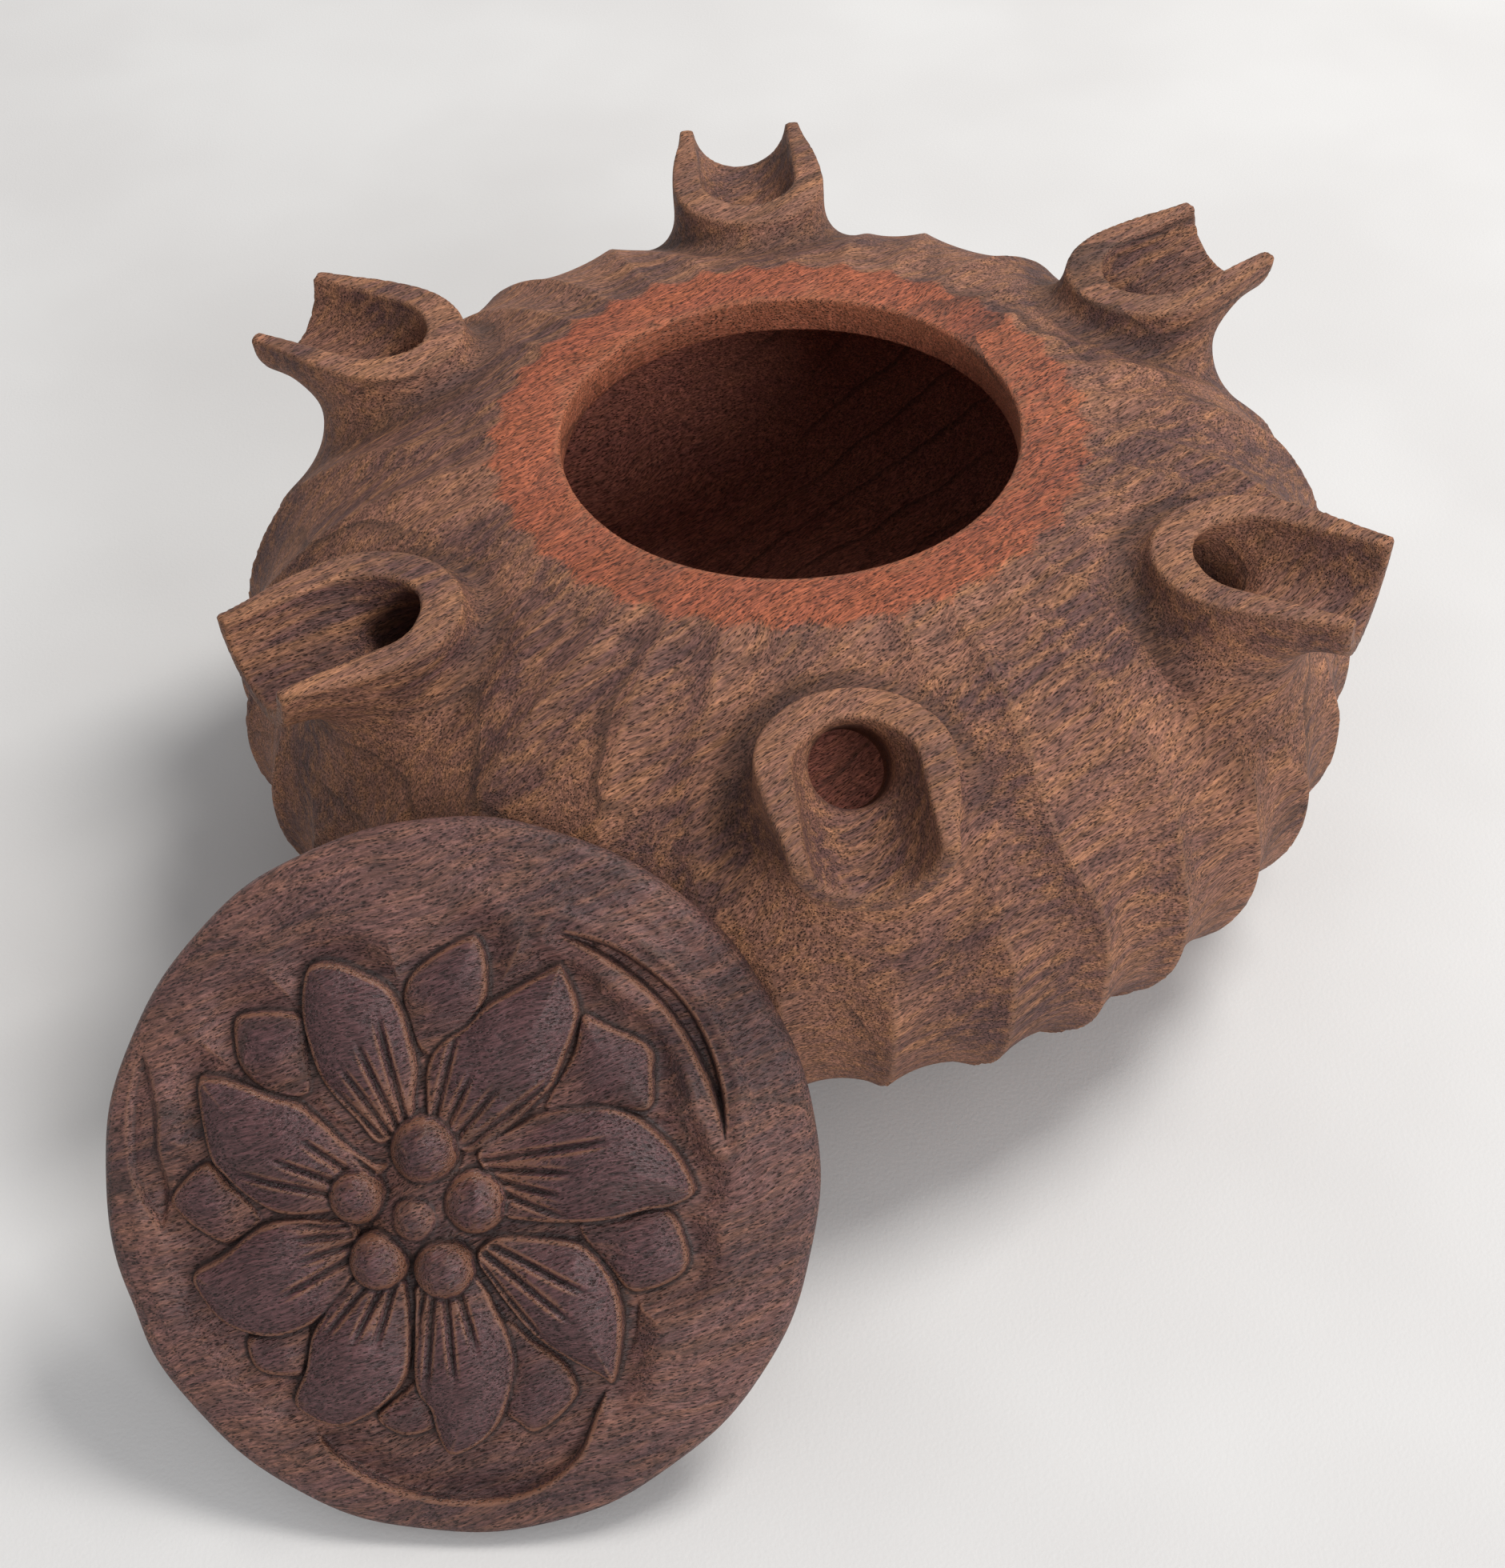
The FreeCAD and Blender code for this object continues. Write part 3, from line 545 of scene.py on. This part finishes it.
def lid_mesh(count):
    """The carved face as a fine grid, and rings round it for the edge, the underside and the spigot."""
    face_x, face_y = square_on_disc(count)
    rim = LID_RADIUS - LID_EDGE / 2
    x, y = face_x * rim, face_y * rim
    z = lid_top(x, y)
    number = np.arange((count + 1) ** 2).reshape(count + 1, count + 1)
    places = [np.stack([x.ravel(), y.ravel(), z.ravel()], 1)]
    corners = (number[:-1, :-1], number[1:, :-1], number[1:, 1:], number[:-1, 1:])
    quads = [np.stack(corners, -1).reshape(-1, 4)]
    border = np.concatenate([number[:-1, 0], number[-1, :-1], number[:0:-1, -1], number[0, :0:-1]])
    turn = np.arctan2(y.ravel()[border], x.ravel()[border])
    half = LID_EDGE / 2
    profile = [(rim + half * math.cos(lean), half + half * math.sin(lean))
               for lean in np.radians(np.linspace(78, -90, 13))]
    profile += [(SPIGOT_RADIUS + 0.3, 0), (SPIGOT_RADIUS, -0.3), (SPIGOT_RADIUS, 0.4 - SPIGOT_DEPTH),
                (SPIGOT_RADIUS - 0.4, -SPIGOT_DEPTH), (SPIGOT_RADIUS / 2, -SPIGOT_DEPTH),
                (1.0, -SPIGOT_DEPTH)]
    nick = 0.35 * np.exp(-((turn + 2.75) / 0.09) ** 2)
    uneven = 0.12 * np.sin(9 * turn + 0.4) + 0.1 * np.sin(17 * turn + 1.9) - nick
    last = border
    for reach, height in profile:
        out = reach + (uneven - 0.2 if reach > rim else 0)
        ring = len(border) * (len(places) - 1) + (count + 1) ** 2 + np.arange(len(border))
        places.append(np.stack([out * np.cos(turn), out * np.sin(turn), np.full(len(border), height)], 1))
        after = np.roll(np.arange(len(border)), -1)
        quads.append(np.stack([last, ring, ring[after], last[after]], 1))
        last = ring
    hub = sum(len(part) for part in places)
    places.append(np.array([[0, 0, -SPIGOT_DEPTH]]))
    after = np.roll(np.arange(len(border)), -1)
    fan = np.stack([last, np.full(len(border), hub), last[after]], 1)
    return np.concatenate(places), np.concatenate(quads).tolist() + fan.tolist()


def lid_frame():
    """The lid's own axes and place in the scene, in metres."""
    level = math.cos(LID_ELEVATION)
    out = Vector((level * math.cos(LID_HEADING), level * math.sin(LID_HEADING), math.sin(LID_ELEVATION)))
    across = Vector((-math.sin(LID_HEADING), math.cos(LID_HEADING), 0))
    turned = Matrix((across, out.cross(across), out)).transposed().to_4x4()
    return Matrix.Translation(Vector(LID_PLACE) * MM) @ turned


class Nodes:
    """A material's node tree, with a short way to add a node and feed it."""

    def __init__(self, name):
        self.material = bpy.data.materials.new(name)
        self.material.use_nodes = True
        self.tree = self.material.node_tree
        self.shader = self.tree.nodes["Principled BSDF"]

    def feed(self, socket, value):
        if isinstance(value, bpy.types.NodeSocket):
            self.tree.links.new(value, socket)
        else:
            socket.default_value = value

    def add(self, kind, inputs, output=0, **settings):
        node = self.tree.nodes.new("ShaderNode" + kind)
        for name, value in settings.items():
            setattr(node, name, value)
        for name, value in inputs.items():
            self.feed(node.inputs[name], value)
        return node.outputs[output]

    def math(self, operation, a, b=0.0):
        return self.add("Math", {0: a, 1: b}, operation=operation)

    def ramp(self, value, low, high, start=0.0, end=1.0):
        inputs = {0: value, 1: low, 2: high, 3: start, 4: end}
        return self.add("MapRange", inputs, interpolation_type="SMOOTHSTEP")

    def stretched(self, place, scale):
        return self.add("VectorMath", {0: place, 1: scale}, operation="MULTIPLY")

    def noise(self, place, scale, detail=2.0, rough=0.5):
        return self.add("TexNoise", {"Vector": self.stretched(place, scale), "Scale": 1.0, "Detail": detail,
                                     "Roughness": rough})

    def mix(self, share, a, b):
        node = self.tree.nodes.new("ShaderNodeMix")
        node.data_type = "RGBA"
        for number, value in ((0, share), (6, a), (7, b)):
            self.feed(node.inputs[number], value)
        return node.outputs[2]


# Each wood's tones: dark, middle, light, the bare ring, and the inside of the cup, lighter as painted light
# in the hollow, or the lid's smooth petals.
CUP_TONES = ((0.112, 0.051, 0.043, 1), (0.240, 0.106, 0.068, 1), (0.390, 0.175, 0.076, 1),
             (0.330, 0.080, 0.034, 1), (0.420, 0.125, 0.085, 1))
LID_TONES = ((0.068, 0.031, 0.030, 1), (0.140, 0.063, 0.054, 1), (0.230, 0.100, 0.058, 1),
             (0.230, 0.100, 0.058, 1), (0.080, 0.034, 0.035, 1))
CUP_GRAIN = math.radians(39)
# The colour that grooves and hollows are darkened towards: dirt together with painted shade.
GROOVE_SHADE_AND_DIRT = (0.022, 0.013, 0.012, 1)
RING_LINE = (0.045, 0.024, 0.018, 1)
PORE_DARK = (0.03, 0.016, 0.013, 1)


def wood(name, turn, tones, rings, gloss, shine, edge_wear_and_highlight):
    """Oiled wood in five tones, with pores and streaks along the grain, edges lightened as rubbed wood and
    painted highlight, and grooves darkened with dirt and painted shade.
    """
    dark, middle, light, bare, inside = tones
    n = Nodes(name)
    place = n.add("TexCoord", {}, output=3)
    place = n.stretched(place, (1 / MM, 1 / MM, 1 / MM))
    place = n.add("VectorRotate", {"Vector": place, "Rotation": turn}, rotation_type="EULER_XYZ")
    sway = n.add("TexNoise", {"Vector": place, "Scale": 0.03, "Detail": 2.0}, output=1)
    sway = n.add("VectorMath", {0: sway, 1: (0.5, 0.5, 0.5)}, operation="SUBTRACT")
    sway = n.stretched(sway, (0.0, 9.0, 9.0))
    place = n.add("VectorMath", {0: place, 1: sway}, operation="ADD")
    pore = n.add("TexVoronoi", {"Vector": n.stretched(place, (0.75, 3.0, 3.0)), "Scale": 1.0})
    pore = n.ramp(pore, 0.12, 0.38, 1.0, 0.0)
    fine = n.noise(place, (0.45, 3.0, 3.0), 3.0, 0.7)
    fibre = n.noise(place, (0.16, 1.3, 1.3), 3.0, 0.65)
    streak = n.noise(place, (0.035, 0.5, 0.5), 3.0, 0.6)
    patch = n.noise(place, (0.02, 0.06, 0.06), 3.0, 0.6)
    ring = n.add("TexWave", {"Vector": place, "Scale": rings, "Distortion": 2.2, "Detail": 2.0,
                             "Detail Scale": 1.4}, output=1, wave_type="RINGS", rings_direction="X",
                 wave_profile="SAW")
    faint = n.ramp(n.noise(place, (0.01, 0.03, 0.03)), 0.42, 0.62)
    ring = n.math("MULTIPLY", n.ramp(ring, 0.82, 0.98), faint)
    carving = n.add("Attribute", {}, output=1, attribute_name="carving")
    parts = n.tree.nodes.new("ShaderNodeSeparateXYZ")
    n.feed(parts.inputs[0], carving)
    # The third channel: edges to lighten (rubbed, with painted highlight) and grooves to darken (dirt, with
    # painted shade).
    edge = n.ramp(parts.outputs[2], 0.25, 1.0)
    groove = n.ramp(parts.outputs[2], -0.2, -1.0)
    colour = n.mix(n.ramp(patch, 0.38, 0.6), dark, middle)
    colour = n.mix(n.math("MULTIPLY", n.ramp(streak, 0.38, 0.75), 0.6), colour, light)
    bare_edge = n.math("ADD", parts.outputs[0], n.math("MULTIPLY", n.math("SUBTRACT", fine, 0.5), 1.6))
    colour = n.mix(n.math("MULTIPLY", n.ramp(bare_edge, 0.15, 1.0), 0.8), colour, bare)
    # The cup's hollow takes its lighter inside tone as painted light; on the lid this is the petals' own
    # darker tone.
    colour = n.mix(parts.outputs[1], colour, inside)
    shade = n.math("MULTIPLY", n.ramp(fine, 0.3, 0.7, 0.4, 1.6), n.ramp(fibre, 0.3, 0.7, 0.76, 1.26))
    tone = n.add("HueSaturation", {"Color": colour, "Value": shade})
    # Edges lightened towards the light tone: rubbed wood and painted highlight.
    colour = n.mix(n.math("MULTIPLY", edge, edge_wear_and_highlight), tone, light)
    # Grooves and hollows darkened: dirt and painted shade.
    colour = n.mix(n.math("MULTIPLY", groove, 0.75), colour, GROOVE_SHADE_AND_DIRT)
    colour = n.mix(n.math("MULTIPLY", ring, 0.6), colour, RING_LINE)
    colour = n.mix(n.math("MULTIPLY", pore, 0.85), colour, PORE_DARK)
    n.feed(n.shader.inputs["Base Color"], colour)
    rough = n.ramp(streak, 0.3, 0.7, gloss, gloss + 0.14)
    rough = n.math("SUBTRACT", rough, n.math("MULTIPLY", edge, 0.12))
    rough = n.math("SUBTRACT", rough, n.math("MULTIPLY", parts.outputs[1], 0.13))
    n.feed(n.shader.inputs["Roughness"], n.math("ADD", rough, n.math("MULTIPLY", pore, 0.2)))
    n.shader.inputs["Specular IOR Level"].default_value = shine
    height = n.math("SUBTRACT", n.math("ADD", fine, fibre), pore)
    bump = n.add("Bump", {"Strength": 0.9, "Distance": 0.34 * MM, "Height": height})
    coarse = n.add("Bump", {"Strength": 0.5, "Distance": 0.9 * MM, "Height": streak, "Normal": bump})
    n.feed(n.shader.inputs["Normal"], coarse)
    return n.material


def make_cup():
    places, quads = voxel_mesh(cup_distance, CUP_LOW, CUP_HIGH, CUP_VOXEL)
    piece = mesh_piece("cup", places, quads.tolist(), CUP_TRIANGLES)
    spots = points_of(piece)
    x, y, z = spots
    r = np.hypot(x, y)
    out, across, off = spout_frame(x, y)
    carved = carving_depth(r, z, np.degrees(np.arctan2(y, x)), off, out, across)
    bare = (1 - ramp(carved, 0.02, 0.55)) * (1 - ramp(r, 49, 56)) * ramp(z, 70, 74)
    # The bare ring fades darker towards the right, leaving a painted sheen on its left side.
    bare = bare * (1 - 0.3 * ramp(x, 10, 50))
    block = block_distance(x, y, z)
    # The hollow below the neck takes the lighter inside tone: painted light in the hollow.
    inside = 1 - ramp(hollow_distance(r, z, block), -0.4, 0.6)
    inside = inside * (1 - 0.75 * ramp(z, TOP - NECK_DEPTH - 0.5, TOP - NECK_DEPTH + 1.5))
    # Edges are lightened (rubbed, with painted highlight); grooves and broad hollows are darkened (dirt, with
    # painted shade).
    sharp = bend(cup_distance, spots, 1.1) * 1.6
    broad = np.minimum(bend(cup_distance, spots, 4.0) * 0.5, 0)
    paint(piece, bare, inside, np.clip(sharp + broad, -1, 1))
    piece.data.materials.append(wood("cup_wood", (0, 0, -CUP_GRAIN), CUP_TONES,
                                     rings=0.034, gloss=0.6, shine=0.3, edge_wear_and_highlight=0.2))
    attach(piece, "root")
    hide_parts("cup_body")


def make_lid():
    places, faces = lid_mesh(LID_CELLS)
    piece = mesh_piece("lid_carved", places, faces, LID_TRIANGLES)
    x, y, z = points_of(piece)
    reach = 0.7
    total = sum(lid_top(x + dx * reach, y + dy * reach) for dx, dy in ((1, 0), (-1, 0), (0, 1), (0, -1)))
    face = z > LID_EDGE - 1
    # Edges of the carved face are lightened (rubbed, with painted highlight) and grooves darkened (dirt, with
    # painted shade).
    wear_dirt_and_painted_light = np.where(face, np.clip(-(total - 4 * lid_top(x, y)) * 1.1, -1, 1), 0)
    paint(piece, np.zeros(len(x)), np.where(face, lid_top(x, y, True), 0), wear_dirt_and_painted_light)
    piece.data.transform(lid_frame())
    turn = (lid_frame().to_3x3() @ Matrix.Rotation(LID_GRAIN, 3, "Z")).inverted().to_euler()
    piece.data.materials.append(wood("lid_wood", tuple(turn), LID_TONES,
                                     rings=0.05, gloss=0.44, shine=0.45, edge_wear_and_highlight=0.75))
    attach(piece, "root")
    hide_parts("lid")


# The camera of the photo.
CAMERA_PLACE = Vector((0, -298.6, 302.2)) * MM
CAMERA_AIM = Vector((-9.07, -4.59, 0)) * MM
CAMERA_ROLL = math.radians(-2.77)
FOCAL_PIXELS = 2688.7
IMAGE_WIDTH = 1881
SENSOR_WIDTH = 36.0


def make_camera():
    data = bpy.data.cameras.new("camera")
    data.sensor_fit = "HORIZONTAL"
    data.sensor_width = SENSOR_WIDTH
    data.lens = FOCAL_PIXELS / IMAGE_WIDTH * SENSOR_WIDTH
    data.clip_start = 0.01
    data.clip_end = 20
    camera = bpy.data.objects.new("camera", data)
    aim = (CAMERA_AIM - CAMERA_PLACE).to_track_quat("-Z", "Y").to_matrix().to_4x4()
    camera.matrix_world = Matrix.Translation(CAMERA_PLACE) @ aim @ Matrix.Rotation(CAMERA_ROLL, 4, "Z")
    bpy.context.scene.collection.objects.link(camera)
    bpy.context.scene.camera = camera


def make_floor():
    mesh = bpy.data.meshes.new("floor")
    half = 3.0
    corners = [(-half, -half, 0), (half, -half, 0), (half, half, 0), (-half, half, 0)]
    mesh.from_pydata(corners, [], [(0, 1, 2, 3)])
    floor = bpy.data.objects.new("floor", mesh)
    bpy.context.scene.collection.objects.link(floor)
    n = Nodes("floor_cloth")
    place = n.add("TexCoord", {}, output=3)
    tone = n.ramp(n.noise(place, (9, 9, 9), 3.0), 0.3, 0.7)
    n.feed(n.shader.inputs["Base Color"], n.mix(tone, (0.66, 0.645, 0.635, 1), (0.72, 0.71, 0.70, 1)))
    n.shader.inputs["Roughness"].default_value = 0.92
    weave = n.noise(place, (1500, 1500, 1500), 2.0)
    bump = n.add("Bump", {"Strength": 0.25, "Distance": 0.2 * MM, "Height": weave})
    n.feed(n.shader.inputs["Normal"], bump)
    mesh.materials.append(n.material)


def area_light(name, place, aim, size, power, colour):
    data = bpy.data.lights.new(name, "AREA")
    data.size = size
    data.energy = power
    data.color = colour
    lamp = bpy.data.objects.new(name, data)
    place, aim = Vector(place), Vector(aim)
    turn = (aim - place).to_track_quat("-Z", "Y").to_matrix().to_4x4()
    lamp.matrix_world = Matrix.Translation(place) @ turn
    bpy.context.scene.collection.objects.link(lamp)


def make_light():
    world = bpy.data.worlds.new("world")
    world.use_nodes = True
    background = world.node_tree.nodes["Background"]
    background.inputs["Color"].default_value = (0.97, 0.98, 1.0, 1)
    background.inputs["Strength"].default_value = 0.44
    bpy.context.scene.world = world
    area_light("window", place=(0.75, 0.5, 1.45), aim=(0, 0, 0.04), size=0.55, power=20,
               colour=(1.0, 0.985, 0.96))
    area_light("room", place=(0.75, -1.2, 0.7), aim=(0, -0.05, 0.04), size=0.5, power=11,
               colour=(0.96, 0.98, 1.0))


bpy.context.scene.view_settings.view_transform = "Standard"
make_camera()
make_floor()
make_light()
make_cup()
make_lid()
